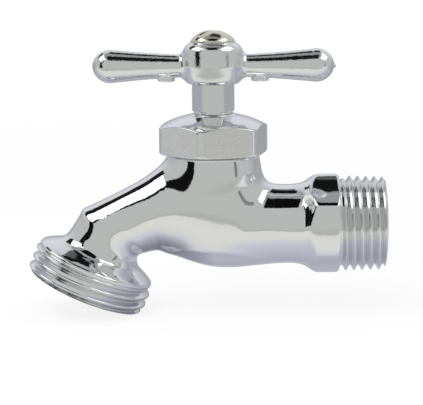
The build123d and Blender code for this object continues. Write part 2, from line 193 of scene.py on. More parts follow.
def join(a, b, blend):
    """Two solids as one, with a fillet about as large as the blend."""
    h = np.clip(0.5 + 0.5 * (b - a) / blend, 0, 1)
    return b + (a - b) * h - blend * h * (1 - h)


def common(a, b, blend):
    """What two solids share, with its edges rounded."""
    return -join(-a, -b, blend)


def cut(a, b, blend):
    """The first solid without the second, with its edges rounded."""
    return -join(-a, b, blend)


def between(value, low, high):
    """How far a value is outside two limits, and below zero inside them."""
    return np.maximum(low - value, value - high)


def six_sides(u, v, across_flats, crown):
    """Distance to a six-sided prism with flats facing along u, which polishing has crowned to a radius."""
    turns = (0, pi / 3, 2 * pi / 3)
    sides = [abs(u * cos(a) + v * sin(a)) + (v * cos(a) - u * sin(a)) ** 2 / (2 * crown) for a in turns]
    return np.maximum.reduce(sides) - across_flats / 2


# Places read along a branch, how many of them to each side even out its line, and points worked on at a time
BRANCH_PLACES = 240
BRANCH_EVENING = 20
BATCH = 20000


def swept(points, line):
    """Distance to a branch of oval section: line holds reach, height, half height and half width stations."""
    t = np.linspace(0, len(line) - 1, BRANCH_PLACES)
    columns = [smooth_line(range(len(line)), column, t) for column in np.transpose(line)]
    bell = np.exp(-np.linspace(-2, 2, 2 * BRANCH_EVENING + 1) ** 2)
    bell = bell / bell.sum()
    padded = [np.pad(column, BRANCH_EVENING, "reflect", reflect_type="odd") for column in columns]
    reach, height, half_height, half_width = (np.convolve(column, bell, "valid") for column in padded)
    along_x, along_z = np.gradient(-reach), np.gradient(height)
    out = np.empty(len(points))
    for start in range(0, len(points), BATCH):
        x, y, z = points[start : start + BATCH].T

        def ahead(k):
            return (x + reach[k]) * along_x[k] + (z - height[k]) * along_z[k]

        k = np.argmin((x[:, None] + reach) ** 2 + (z[:, None] - height) ** 2, axis=1)
        k = np.clip(np.where(ahead(k) > 0, k, k - 1), 0, BRANCH_PLACES - 2)
        here, after = ahead(k), ahead(k + 1)
        s = np.clip(here / np.where(here == after, 1, here - after), 0, 1)
        near_x = -(reach[k] + s * (reach[k + 1] - reach[k]))
        near_z = height[k] + s * (height[k + 1] - height[k])
        a = half_height[k] + s * (half_height[k + 1] - half_height[k])
        b = half_width[k] + s * (half_width[k + 1] - half_width[k])
        off = np.hypot(x - near_x, z - near_z)
        out[start : start + BATCH] = (np.hypot(off / a, y / b) - 1) * np.minimum(a, b)
    return out


def outlet_place(points):
    """Depth above the hose end's rim, and distance from its axis."""
    x, y, z = points.T
    dx, dz = x + OUTLET_REACH, z + OUTLET_DROP
    depth = dx * sin(OUTLET_TILT) + dz * cos(OUTLET_TILT)
    side = dx * cos(OUTLET_TILT) - dz * sin(OUTLET_TILT)
    return depth, np.hypot(side, y)


# The spout's slope down to the knee: reach from the stem's axis, height, half height and half width
SPOUT_LINE = [
    (-1.0, 5.2, 9.0, 9.0),
    (3.0, 5.1, 9.3, 9.1),
    (7.5, 4.5, 9.5, 8.8),
    (11.5, 3.1, 8.5, 8.3),
    (15.2, 1.8, 7.6, 7.8),
    (18.8, 0.2, 7.35, 7.7),
    (23.5, -2.0, 7.3, 7.7),
    (28.5, -4.3, 7.3, 7.6),
    (33.5, -6.6, 7.3, 7.5),
]
# The mitre line where the spout turns down, and the turn's width: on top, more inside, more on the cheeks
KNEE_OUT = (-28.9, 3.55)
KNEE_IN = (-16.9, -7.0)
KNEE_WIDTHS = (2.4, 2.2, 4.5)
# The waterway through the spout, in the spout's terms
WATER_LINE = [
    (-2.0, 5.6, 4.0, 4.4),
    (8.0, 5.0, 4.7, 5.2),
    (15.5, 2.0, 5.4, 5.6),
    (20.8, -1.3, 5.7, 5.7),
    (23.6, -4.4, 5.8, 5.8),
    (25.1, -5.8, 5.9, 5.9),
]
# Round sections: places along an axis, and the radius at each
GLOBE_X = [-12.6, -8.5, -4.6, -0.4, 4.2, 10.0, 16.6, 22.0]
GLOBE_R = [4.6, 6.9, 8.4, 9.4, 9.6, 9.1, 8.55, 8.5]
FLARE_X = [14.0, 16.5, 18.2, 19.7, 21.1, 22.5, 24.0, 27.5]
FLARE_R = [8.3, 8.45, 8.75, 9.25, 10.1, 11.05, 11.15, 11.15]
NECK_Z = [-4.0, 0.0, 6.0, 11.9, 15.6]
NECK_R = [8.6, 9.1, 9.9, 10.5, 9.95]
HOSE_DEPTH = [5.5, 6.0, 6.45, 6.85, 7.3, 8.1, 8.87, 9.75, 11.2, 13.1, 15.2, 17.0, 20.0]
HOSE_R = [12.5, 13.0, 13.12, 12.95, 12.3, 10.75, 9.35, 8.6, 8.07, 7.72, 7.4, 7.15, 7.0]

# The run goes from behind the globe, where it is round, to inside the boss
RUN_X = (-13.6, 22.0)
BOSS_START = 14.0
BOSS_ACROSS_FLATS = 20.3
BOSS_CROWN = 33.0
BOSS_CORNER_R = 11.1
BOSS_CHAMFER = 0.45
SPIGOT_R = 9.0
SPIGOT_Z = (10.0, 20.2)
FLANGE_DEPTH = 5.6
# Fillets where the branches of the casting meet
BOSS_FILLET = 0.8
NECK_FILLET = 3.6
SPOUT_FILLET = 3.2

# The waterway: inlet bore, the chambers under and over the bridge, the seat, and the way to the hose end
INLET_BORE_R = 6.55
INLET_BORE_X = 8.7
LOWER_R = 7.2
LOWER_X = 0.6
LINK_R = 6.5
LINK_X = (1.5, 10.0)
BRIDGE_Z = (-0.6, 1.2)
UPPER_R = 6.9
UPPER_TOP = 9.0
SEAT_R = 5.3
SEAT_Z = 2.0
SEAT_HOLE_R = 4.0
SEAT_HOLE_Z = (-3.0, 3.0)
STEM_BORE_R = 6.46
STEM_BORE_Z = (8.6, 30.0)
THROAT_DEPTH = [5.0, 6.0, 9.5]
THROAT_R = [9.45, 9.4, 6.2]


def body_field(points):
    """The whole casting: run, globe, boss, neck, spout and flange, with the waterway cut out of it."""
    x, y, z = points.T
    about_x = np.hypot(y, z)
    about_z = np.hypot(x, y)
    depth, about_outlet = outlet_place(points)
    run = common(about_x - smooth_line(GLOBE_X, GLOBE_R, x), x - RUN_X[1], 0.6)
    run = common(run, RUN_X[0] - x, 4.0)
    flats = six_sides(y, z, BOSS_ACROSS_FLATS, BOSS_CROWN)
    boss = common(about_x - smooth_line(FLARE_X, FLARE_R, x), flats, 0.45)
    boss = common(boss, between(x, BOSS_START, BOSS_FACE), 0.5)
    boss = common(boss, (about_x - BOSS_CORNER_R + x - BOSS_FACE + BOSS_CHAMFER) / sqrt(2), 0.4)
    neck = common(about_z - smooth_line(NECK_Z, NECK_R, z), between(z, NECK_Z[0], NECK_Z[-1]), 0.7)
    spigot = common(about_z - SPIGOT_R, between(z, *SPIGOT_Z), 0.4)
    slope = swept(points, SPOUT_LINE)
    down = common(about_outlet - smooth_line(HOSE_DEPTH, HOSE_R, depth), FLANGE_DEPTH - depth, 0.4)
    # The knee is tight over the top and inside the bend, and soft on the cheeks between
    knee = np.subtract(KNEE_IN, KNEE_OUT)
    span = np.hypot(*knee)
    dx, dz = x - KNEE_OUT[0], z - KNEE_OUT[1]
    along = np.clip((dx * knee[0] + dz * knee[1]) / span**2, 0, 1)
    past = (dx * knee[1] - dz * knee[0]) / span
    top, inner, cheek = KNEE_WIDTHS
    t = np.clip(past / (top + inner * along + cheek * np.sin(pi * along)) + 0.5, 0, 1)
    spout = slope + (down - slope) * t * t * (3 - 2 * t)
    outside = join(join(run, boss, BOSS_FILLET), neck, NECK_FILLET)
    outside = join(outside, spout, SPOUT_FILLET)
    outside = join(outside, spigot, 0.3)

    inlet = common(about_x - INLET_BORE_R, INLET_BORE_X - x, 0.4)
    under = z - BRIDGE_Z[0]
    lower = common(np.hypot(np.hypot(x - LOWER_X, y), z) - LOWER_R, under, 0.5)
    link = common(about_x - LINK_R, np.maximum(between(x, *LINK_X), under), 0.5)
    upper = common(about_z - UPPER_R, between(z, BRIDGE_Z[1], UPPER_TOP), 0.5)
    upper = cut(upper, common(about_z - SEAT_R, z - SEAT_Z, 0.3), 0.2)
    stem_bore = common(about_z - STEM_BORE_R, between(z, *STEM_BORE_Z), 0.3)
    hole = common(about_z - SEAT_HOLE_R, between(z, *SEAT_HOLE_Z), 0.3)
    water = cut(swept(points, WATER_LINE), common(about_z - LOWER_R, z - BRIDGE_Z[1], 0.3), 0.5)
    throat = about_outlet - np.interp(depth, THROAT_DEPTH, THROAT_R)
    throat = common(throat, depth - THROAT_DEPTH[-1], 0.3)
    inside = np.minimum.reduce([inlet, lower, link, upper, stem_bore, hole])
    inside = join(inside, join(water, throat, 0.6), 0.6)
    return cut(outside, inside, 0.3)


# The handle's two die halves part at a height a little under the arms' axis, and each stands 0.3 mm off it
ARM_Z = 34.95
PARTING_Z = 34.75
DIE_SHIFT = 0.3
# The arms swell from the hub to a ball at each end, and the whole is cast a little to one side
ARM_SHIFT = 0.05
ARM_REACH = [0.0, 4.0, 8.0, 15.0, 22.2, 23.0]
ARM_R = [2.75, 2.72, 2.82, 3.25, 3.86, 3.9]
ARM_END = 22.9
BALL_REACH = 22.45
BALL_R = 3.93
# The hub: below the parting and above it
HUB_ENDS = (31.1, 40.15)
HUB_Z = [31.0, 31.6, 32.3, 33.3, 34.75, 37.0]
HUB_R = [5.7, 6.2, 6.42, 6.6, 6.9, 7.5]
DOME_Z = [32.0, 34.6, 36.6, 38.2, 39.1, 39.7, 40.15]
DOME_R = [6.94, 6.9, 6.82, 6.6, 6.27, 5.82, 5.2]
# Ejector pads under the arms, and the nub left at the tip of the right arm
PAD_REACH = 10.2
PAD_R = 1.9
PAD_BOTTOM = 31.6
NUB_PLACE = (26.35, 0, PARTING_Z)
NUB_R = 0.45
# The bore: a round counterbore, the square for the stem and the screw's hole
SOCKET_HALF = 2.55
SOCKET_R = 3.35
SOCKET_TOP = 38.5
COUNTERBORE_TOP = 31.6
SCREW_HOLE_R = 1.65


def handle_half(points, drop):
    """The handle's casting with its arms moved down by the drop."""
    x, y, z = points.T
    span = abs(x - ARM_SHIFT)
    about_arm = np.hypot(y, z - ARM_Z + drop)
    ball = np.hypot(span - BALL_REACH, about_arm) - BALL_R
    arm = common(about_arm - smooth_line(ARM_REACH, ARM_R, span), span - ARM_END, 0.6)
    hub_r = np.minimum(smooth_line(HUB_Z, HUB_R, z + drop), smooth_line(DOME_Z, DOME_R, z + drop))
    hub = common(np.hypot(x, y) - hub_r, between(z, *HUB_ENDS), 0.5)
    return join(np.minimum(arm, ball), hub, 1.3)


def handle_field(points):
    """The handle: two die halves that meet in a crease, ejector pads, and the bore for the stem's square."""
    x, y, z = points.T
    about_z = np.hypot(x, y)
    casting = np.maximum(handle_half(points, DIE_SHIFT), handle_half(points, -DIE_SHIFT))
    pad = common(np.hypot(abs(x) - PAD_REACH, y) - PAD_R, between(z, PAD_BOTTOM, ARM_Z), 0.25)
    nub = np.linalg.norm(points - NUB_PLACE, axis=1) - NUB_R
    casting = join(np.minimum(casting, nub), pad, 0.25)
    square = common(np.maximum(abs(x), abs(y)) - SOCKET_HALF, about_z - SOCKET_R, 0.1)
    counterbore = np.maximum(about_z - SOCKET_R, z - COUNTERBORE_TOP)
    bore = np.minimum(np.maximum(square, z - SOCKET_TOP), counterbore)
    bore = np.minimum(bore, about_z - SCREW_HOLE_R)
    return cut(casting, bore, 0.15)


# The screw's head is a slice of a ball with a rounded rim, and its shank ends deep in the stem
SCREW_TOP = 42.7
SCREW_R = 5.0
SCREW_RIM = 0.9
SCREW_BALL_R = 6.66
SCREW_HEAD_T = 2.6
SCREW_SHANK_R = 1.6
SCREW_SHANK_Z = (SCREW_TOP - 11.7, SCREW_TOP - 2.0)
SLOT_HALF = 0.55
SLOT_DEPTH = 1.2


def screw_field(points, turn):
    """The screw that holds the handle, with its slot turned from the front."""
    x, y, z = points.T
    about_z = np.hypot(x, y)
    ball = np.hypot(about_z, z - SCREW_TOP + SCREW_BALL_R) - SCREW_BALL_R
    head = common(common(ball, about_z - SCREW_R, SCREW_RIM), SCREW_TOP - SCREW_HEAD_T - z, 0.1)
    shank = common(about_z - SCREW_SHANK_R, between(z, *SCREW_SHANK_Z), 0.3)
    across = abs(x * cos(turn) + y * sin(turn)) - SLOT_HALF
    slot = np.maximum(across, SCREW_TOP - SLOT_DEPTH - z)
    return cut(np.minimum(head, shank), slot, 0.12)


# ---------------- meshes


# How far apart the field is read for its gradient: to move a point, and to shade it
MOVE_STEP = 0.02
SHADE_STEP = 0.12


def slopes(field, points, step):
    """The field's gradient at each point."""
    columns = []
    for axis in range(3):
        shift = np.zeros(3)
        shift[axis] = step
        columns.append((field(points + shift) - field(points - shift)) / (2 * step))
    return np.stack(columns, -1)


def settle(field, points, reach, rounds):
    """Moves points onto the surface where the field is zero."""
    for _ in range(rounds):
        slope = slopes(field, points, MOVE_STEP)
        size = np.maximum((slope**2).sum(-1), 0.05)
        step = (-field(points) / size)[:, None] * slope
        length = np.linalg.norm(step, axis=1, keepdims=True)
        points = points + step * np.minimum(1, reach / np.maximum(length, 1e-9))
    return points


def skin(field, low, high, cell):
    """The surface where a field is zero, as quads: one point in each grid cell that the surface crosses."""
    axes = [np.arange(a, b + cell, cell) for a, b in zip(low, high)]
    grid = np.stack(np.meshgrid(*axes, indexing="ij"), -1)
    values = field(grid.reshape(-1, 3)).reshape(grid.shape[:3])
    solid = values < 0
    corners = [(i, j, k) for i in (0, 1) for j in (0, 1) for k in (0, 1)]
    sizes = [n - 1 for n in solid.shape]
    spans = [tuple(slice(c, c + n) for c, n in zip(corner, sizes)) for corner in corners]
    filled = sum(solid[span].astype(np.int8) for span in spans)
    crossed = (filled > 0) & (filled < 8)
    index = np.full(crossed.shape, -1)
    index[crossed] = np.arange(crossed.sum())
    at = np.stack([values[span][crossed] for span in spans], -1)
    place = np.stack([grid[span][crossed] for span in spans], 1)
    total = np.zeros((len(at), 3))
    count = np.zeros((len(at), 1))
    for a in range(8):
        for b in range(a + 1, 8):
            if sum(p != q for p, q in zip(corners[a], corners[b])) == 1:
                mixed = ((at[:, a] < 0) != (at[:, b] < 0))[:, None]
                t = (at[:, a] / np.where(mixed[:, 0], at[:, a] - at[:, b], 1))[:, None]
                total += np.where(mixed, place[:, a] + t * (place[:, b] - place[:, a]), 0)
                count += mixed
    quads = []
    for axis in range(3):
        first = np.take(solid, range(solid.shape[axis] - 1), axis)
        second = np.take(solid, range(1, solid.shape[axis]), axis)
        edge = np.stack(np.nonzero(first != second), -1)
        u, v = (axis + 1) % 3, (axis + 2) % 3
        ring = []
        for du, dv in ((-1, -1), (0, -1), (0, 0), (-1, 0)):
            cell_at = edge.copy()
            cell_at[:, u] += du
            cell_at[:, v] += dv
            ring.append(index[tuple(cell_at.T)])
        ring = np.stack(ring, -1)
        outward = first[tuple(edge.T)][:, None]
        quads.append(np.where(outward, ring, ring[:, ::-1]))
    quads = np.concatenate(quads)
    points = settle(field, total / count, cell, 3)
    for _ in range(2):
        points = settle(field, evened(points, quads), cell, 2)
    return points, quads, slopes(field, points, SHADE_STEP)


def evened(points, quads):
    """Points moved towards the middle of their neighbours, so that the quads are alike in size."""
    total = np.zeros_like(points)
    count = np.zeros((len(points), 1))
    for a in range(4):
        first, second = quads[:, a], quads[:, (a + 1) % 4]
        for one, other in ((first, second), (second, first)):
            np.add.at(total, one, points[other])
            np.add.at(count, one, 1)
    return points * 0.5 + total / np.maximum(count, 1) * 0.5


def woven(numbers):
    """Quads between neighbours in a grid of point numbers."""
    here, after = numbers[:-1], numbers[1:]
    return np.stack([here[:, :-1], here[:, 1:], after[:, 1:], after[:, :-1]], -1).reshape(-1, 4)


def around(r, angle, z):
    """Points at a radius, an angle and a height."""
    return np.stack([r * np.cos(angle), r * np.sin(angle), z], -1).reshape(-1, 3)


def turned(outline, columns, radius):
    """A closed outline of (radius, height) turned about Z: its points, which radius() reshapes, and quads."""
    angle = np.arange(columns) / columns * 2 * pi
    r, z = (np.array(column)[:, None] + 0 * angle for column in zip(*outline))
    numbers = np.pad(np.arange(r.size).reshape(r.shape), ((0, 1), (0, 1)), "wrap")
    return around(radius(r, z, angle + 0 * r), angle, z), woven(numbers)


def merged(*pieces):
    """Several (points, faces, slot, slopes) as one set. Slopes are None where Blender works them out."""
    points, faces, slots, normals = [], [], [], []
    for piece_points, piece_faces, piece_slots, piece_slopes in pieces:
        start = sum(len(p) for p in points)
        points.append(piece_points)
        faces += [tuple(i + start for i in face) for face in piece_faces]
        slots.append(np.broadcast_to(piece_slots, len(piece_faces)))
        normals.append(np.zeros_like(piece_points) if piece_slopes is None else piece_slopes)
    return np.concatenate(points), faces, np.concatenate(slots), np.concatenate(normals)


# Edges sharper than this stay sharp
CREASE = radians(50)


def piece(name, parts, materials, body, node):
    """A mesh object in metres from parts in mm about the stem's axis, standing for a CAD node."""
    points, faces, slots, normals = parts
    mesh = bpy.data.meshes.new(name)
    mesh.from_pydata(((points + (STEM_X, 0, 0)) * MM).tolist(), [], faces)
    mesh.polygons.foreach_set("material_index", slots.astype(np.int32))
    mesh.polygons.foreach_set("use_smooth", np.ones(len(faces), bool))
    mesh.update()
    if mesh.validate():
        raise RuntimeError(f"{name} has faces that Blender had to mend")
    mesh.set_sharp_from_angle(angle=CREASE)
    size = np.linalg.norm(normals, axis=1, keepdims=True)
    if size.any():
        mesh.normals_split_custom_set_from_vertices((normals / np.maximum(size, 1e-9)).tolist())
    for look in materials:
        mesh.materials.append(look)
    made = bpy.data.objects.new(name, mesh)
    bpy.context.scene.collection.objects.link(made)
    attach(made, body)
    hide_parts(node)


# ---------------- threads


def v_ridge(t):
    """A pipe thread's ridge with its crest and root blunted: t is 0 at the crest and 1 in the root."""
    return np.clip((0.88 - t) / 0.76, 0, 1)


def round_ridge(t):
    """A hose thread's ridge, rounded over and hollow between."""
    return 0.5 + 0.5 * np.cos(pi * np.clip(t * 1.08 - 0.04, 0, 1))


def threaded_end(length, crest, depth, pitch, start, ridge, chamfer, bore, fade, taper=0.0):
    """A right-hand thread about Z from z = 0 to its mouth at z = length, with the rim and bore inside it.

    Each row of points keeps its place on the ridge and winds with it, so it ends one pitch above its start.
    The ridge grows to its height over the fade, and the taper is the radius lost for each mm of length."""
    columns, rows = 144, 18
    angle = np.arange(columns) / columns * 2 * pi
    first = int(np.floor(rows * (-start / pitch - 1))) - 1
    k = np.arange(first, int(np.ceil(rows * (length - start) / pitch)) + 1)
    z = start + pitch * (k[:, None] / rows + angle / (2 * pi))
    low, high = z <= 0, z >= length
    z = np.clip(z, 0, length)
    t = abs((k / rows + 0.5) % 1 - 0.5)[:, None] * 2
    crest = crest - taper * z
    r = crest - depth * (1 - ridge(t) * np.clip(z / fade, 0, 1))
    r = np.minimum(r, crest - chamfer + (length - z) * 1.2)

    own = np.arange(z.size).reshape(z.shape)
    start_ring = own[np.argmin(low, axis=0) - 1, np.arange(columns)]
    end_ring = own[np.argmax(high, axis=0), np.arange(columns)]
    index = np.where(low, start_ring, np.where(high, end_ring, own))
    after = np.full((len(k), 1), end_ring[0])
    after[:-rows, 0] = index[rows:, 0]
    index = np.concatenate([index, after], axis=1)
    points = around(r, angle, z)

    # The rim's face, a rounded edge into the bore, and back behind the thread's first turn
    lip = crest[-1, 0] - chamfer
    mouth = [(lip - 0.1, length), (bore + 0.3, length), (bore + 0.08, length - 0.1), (bore, length - 0.3)]
    mouth += [(bore, length * 0.5), (bore, -0.3), (crest[0, 0] - depth - 0.6, -0.3)]
    rings = [around(q, angle, 0 * angle + h) for q, h in mouth]
    line = [len(points) + n * columns + np.arange(columns) for n in range(len(rings))]
    line = np.stack([np.append(ring, ring[0]) for ring in (end_ring, *line, start_ring)])
    quads = np.concatenate([woven(index), woven(line)])
    points = np.concatenate([points, *rings])
    used, quads = np.unique(quads, return_inverse=True)
    faces = [tuple(dict.fromkeys(face)) for face in quads.reshape(-1, 4).tolist()]
    return points[used], [face for face in faces if len(face) > 2]


def placed(points, matrix):
    """Points moved by a 4 x 4 matrix."""
    m = np.array(matrix)
    return points @ m[:3, :3].T + m[:3, 3]


# The threads start at the boss and under the flange
INLET_PLACE = Matrix.Translation((BOSS_FACE, 0, 0)) @ Matrix.Rotation(pi / 2, 4, "Y")
HOSE_LENGTH = 6.3
HOSE_PLACE = (
    Matrix.Translation((-OUTLET_REACH, 0, -OUTLET_DROP))
    @ Matrix.Rotation(OUTLET_TILT, 4, "Y")
    @ Matrix.Translation((0, 0, HOSE_LENGTH))
    @ Matrix.Rotation(pi, 4, "X")
)


# ---------------- finishes


def polished_chrome(tree, place, output):
    """Chrome on a hand-polished brass casting: a mirror, with the low waves of the polishing wheel."""
    # Waves about 9 mm long and a few microns high, and a haze of wheel marks about 0.5 mm apart
    waves = noise(tree, place, 110.0, 1.0, 0.4)
    marks = noise(tree, place, 2000.0, 2.0)
    normal = bump(tree, waves, 0.35, 0.0006, over=bump(tree, marks, 0.3, 0.00002))
    surface(tree, output, linear("#EEF0F0"), sheen(tree, marks, 0.035, 0.075), normal, Metallic=1.0)


def machined_chrome(tree, place, output):
    """Chrome over threads left from the lathe: bright, with a fine grain that blurs what it reflects, and
    painted shade in the roots.
    """
    # Tool marks about 0.12 mm apart, drawn at 0.35 mm so that they show
    marks = noise(tree, place, 2800.0, 3.0, 0.6)
    patches = noise(tree, place, 350.0, 2.0)
    # Painted shade darkens the roots, where the surface is hollow, which draws each turn of the thread
    hollow = spread(tree, add(tree, "ShaderNodeNewGeometry").outputs["Pointiness"], 0.49, 0.38)
    tone = blended(tree, hollow, linear("#ECEEEE"), linear("#52524F"))
    normal = bump(tree, marks, 0.1, 0.00003)
    surface(tree, output, tone, sheen(tree, patches, 0.05, 0.12), normal, Metallic=1.0)


def satin_chrome(tree, place, output):
    """Chrome on flats that were milled and not polished: an even satin with a fine speckle."""
    # Speckle about 0.3 mm across, from the cutter's marks under the plating
    speckle = noise(tree, place, 3200.0, 3.0, 0.7)
    clouds = noise(tree, place, 260.0, 2.0)
    tone = blended(tree, speckle, linear("#D2D3D2"), linear("#FFFFFF"))
    normal = bump(tree, speckle, 0.6, 0.00009)
    surface(tree, output, tone, sheen(tree, clouds, 0.26, 0.4), normal, Metallic=1.0)


def die_cast_chrome(tree, place, output):
    """Bright chrome on a zinc die casting: a mirror with the faint orange peel of the casting under it."""
    peel = noise(tree, place, 520.0, 1.0)
    # Pits about 0.3 mm across
    pits = noise(tree, place, 3000.0, 2.0, 0.6)
    normal = bump(tree, peel, 0.25, 0.0001, over=bump(tree, pits, 0.5, 0.00004))
    surface(tree, output, linear("#EDEFEF"), sheen(tree, peel, 0.06, 0.13), normal, Metallic=1.0)


def nickel(tree, place, output):
    """Nickel-plated steel: bright like the chrome, and warmer, with the faint marks of a tumbler."""
    marks = noise(tree, place, 1500.0, 2.0)
    normal = bump(tree, marks, 0.2, 0.00003)
    surface(tree, output, linear("#E4DFD0"), sheen(tree, marks, 0.09, 0.17), normal, Metallic=1.0)


def turned_brass(tree, place, output):
    """Bare brass from the lathe: yellow and bright, with rings of tool marks and a little tarnish."""
    ring_settings = {"Vector": place, "Scale": 700.0, "Distortion": 0.6, "Detail": 1.0}
    rings = add(tree, "ShaderNodeTexWave", ring_settings, bands_direction="Z").outputs["Fac"]
    tarnish = noise(tree, place, 300.0, 3.0)
    tone = blended(tree, tarnish, linear("#DDC078"), linear("#C09A50"))
    normal = bump(tree, rings, 0.3, 0.00003)
    surface(tree, output, tone, sheen(tree, tarnish, 0.2, 0.34), normal, Metallic=1.0)


def washer_rubber(tree, place, output):
    """Moulded nitrile rubber: black and matt, with a fine bloom."""
    bloom = noise(tree, place, 900.0, 4.0)
    tone = blended(tree, bloom, linear("#1C1C1D"), linear("#3A3A3B"))
    surface(tree, output, tone, 0.75, bump(tree, bloom, 0.3, 0.00005), IOR=1.52)


def packing_cord(tree, place, output):
    """Graphited packing pressed into a ring: dark grey, with the weave of its yarn."""
    # Yarn about 0.5 mm wide
    yarn = add(tree, "ShaderNodeTexVoronoi", {"Vector": place, "Scale": 2000.0}).outputs["Distance"]
    tone = blended(tree, yarn, linear("#585858"), linear("#2C2C2E"))
    surface(tree, output, tone, 0.6, bump(tree, yarn, 0.6, 0.0001), IOR=1.6)


FINISHES = {
    "casting": ("Polished chrome on cast brass", polished_chrome),
    "threads": ("Chrome on turned brass", machined_chrome),
    "flats": ("Satin chrome on milled brass", satin_chrome),
    "handle": ("Bright chrome on die-cast zinc", die_cast_chrome),
    "screw": ("Bright nickel on steel", nickel),
    "brass": ("Turned brass", turned_brass),
    "rubber": ("Moulded nitrile rubber", washer_rubber),
    "packing": ("Graphited packing", packing_cord),
}


def finish(name):
    """The finish of that name, made the first time that it is asked for."""
    title, make = FINISHES[name]
    made = bpy.data.materials.get(title)
    if made is None:
        made, tree, output = material(title)
        make(tree, add(tree, "ShaderNodeTexCoord").outputs["Object"], output)
    return made


def dress(node, name):
    """Gives a CAD node that stays in view its finish."""
    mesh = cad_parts[node].data
    mesh.materials.clear()
    mesh.materials.append(finish(name))


# ---------------- settings


class BodySettings(bpy.types.PropertyGroup):
    grain: FloatProperty(
        name="Mesh Grain",
        description="Size of the quads on the casting",
        default=0.42 * MM,
        min=0.2 * MM,
        unit="LENGTH",
        precision=5,
    )
    inlet_pitch: FloatProperty(
        name="Inlet Pitch",
        description="Distance between the inlet thread's turns, 14 to the inch",
        default=25.4 / 14 * MM,
        unit="LENGTH",
        precision=6,
    )
    inlet_depth: FloatProperty(
        name="Inlet Thread Depth",
        description="Height of the inlet thread from root to crest",
        default=1.15 * MM,
        unit="LENGTH",
        precision=5,
    )
    hose_pitch: FloatProperty(
        name="Hose Pitch",
        description="Distance between the hose thread's turns, 11.5 to the inch",
        default=25.4 / 11.5 * MM,
        unit="LENGTH",
        precision=6,
    )
    hose_depth: FloatProperty(
        name="Hose Thread Depth",
        description="Height of the hose thread from root to crest",
        default=1.35 * MM,
        unit="LENGTH",
        precision=5,
    )


class HandleSettings(bpy.types.PropertyGroup):
    grain: FloatProperty(
        name="Mesh Grain",
        description="Size of the quads on the handle",
        default=0.3 * MM,
        min=0.15 * MM,
        unit="LENGTH",
        precision=5,
    )
    slot_turn: FloatProperty(
        name="Slot Turn",
        description="How far the screw's slot is turned from the front",
        default=radians(-56),
        subtype="ANGLE",
    )
    column_flats: FloatProperty(
        name="Column Across Flats",
        description="Width of the six-sided column under the hub",
        default=8.1 * MM,
        unit="LENGTH",
        precision=5,
    )


class NutSettings(bpy.types.PropertyGroup):
    across_flats: FloatProperty(
        name="Across Flats",
        description="Width of the packing nut over two flats",
        default=21.9 * MM,
        unit="LENGTH",
        precision=5,
    )
    turn: FloatProperty(
        name="Turn",
        description="How far the nut is turned about the stem",
        default=radians(17.6),
        subtype="ANGLE",
    )


class StageSettings(bpy.types.PropertyGroup):
    floor_colour: FloatVectorProperty(
        name="Floor",
        description="Colour of the floor, linear",
        default=linear("#F4F4F2")[:3],
        subtype="COLOR",
        min=0,
        max=1,
    )
    lens: FloatProperty(
        name="Lens",
        description="Focal length of the camera",
        default=143.5,
        unit="CAMERA",
    )


class HoseBibbSettings(bpy.types.PropertyGroup):
    body: PointerProperty(type=BodySettings)
    handle: PointerProperty(type=HandleSettings)
    nut: PointerProperty(type=NutSettings)
    stage: PointerProperty(type=StageSettings)


# ---------------- operators


# Boxes that hold the casting, the handle and the screw
BODY_LOW, BODY_HIGH = (-44.0, -14.5, -21.0), (29.0, 14.5, 21.5)
HANDLE_LOW, HANDLE_HIGH = (-28.0, -8.0, 29.5), (28.0, 8.0, 41.5)
SCREW_LOW, SCREW_HIGH = (-5.3, -5.3, 30.7), (5.3, 5.3, 43.0)
SCREW_GRAIN = 0.15

# The threads' crests at their first turn, where that turn starts, and the bores inside them
INLET_CREST, INLET_START, INLET_MOUTH_R = 10.5, 1.487, 6.5
HOSE_CREST, HOSE_START, HOSE_MOUTH_R = 13.62, 0.028, 9.4

# The nut's outline: its rounded foot, its sides, the dome that flattens to a collar, and its inside
NUT_FOOT = [(9.06, 15.95), (9.4, 15.9), (10.5, 15.9), (11.3, 15.9)]
NUT_FOOT += [(11.75, 15.93), (12.0, 16.05), (12.18, 16.25)]
NUT_R = 12.25
NUT_SIDE_Z = (16.5, 21.2)
NUT_DOME_R = [12.25, 12.12, 11.6, 10.6, 9.6, 8.6, 7.6, 6.6]
NUT_DOME_R += [5.9, 5.45, 5.15, 5.0, 4.93, 4.8, 4.5]
NUT_DOME_Z = [21.45, 21.72, 22.05, 22.54, 23.0, 23.4, 23.74, 24.02]
NUT_DOME_Z += [24.2, 24.24, 24.28, 24.36, 24.45, 24.53, 24.55]
NUT_INSIDE = [(3.6, 24.55), (3.42, 24.5), (3.35, 24.35), (3.35, 23.4), (3.5, 23.25), (6.3, 23.25)]
NUT_INSIDE += [(6.5, 23.1), (6.5, 21.1), (6.6, 21.05), (8.9, 21.05), (9.06, 20.9), (9.06, 18.0)]
NUT_EDGE = 0.22

# The column: a round foot, then flats with their corners turned down, and the bore through it
COLUMN_FOOT = [(3.33, 24.65), (3.4, 24.59), (4.25, 24.59), (5.0, 24.64)]
COLUMN_R = 5.0
COLUMN_SIDE_Z = (24.75, 31.8)
COLUMN_INSIDE = [(3.4, 31.8), (3.33, 31.75)]
COLUMN_BORE_R = 3.4
COLUMN_FOOT_R = 4.22
COLUMN_CORNER_R = 4.64
COLUMN_FLATS_START = 24.9


def hexagon(half, angle):
    """Radius at an angle of a six-sided outline, whose flats are half of its width from the middle."""
    return half / np.cos(angle % (pi / 3) - pi / 6)


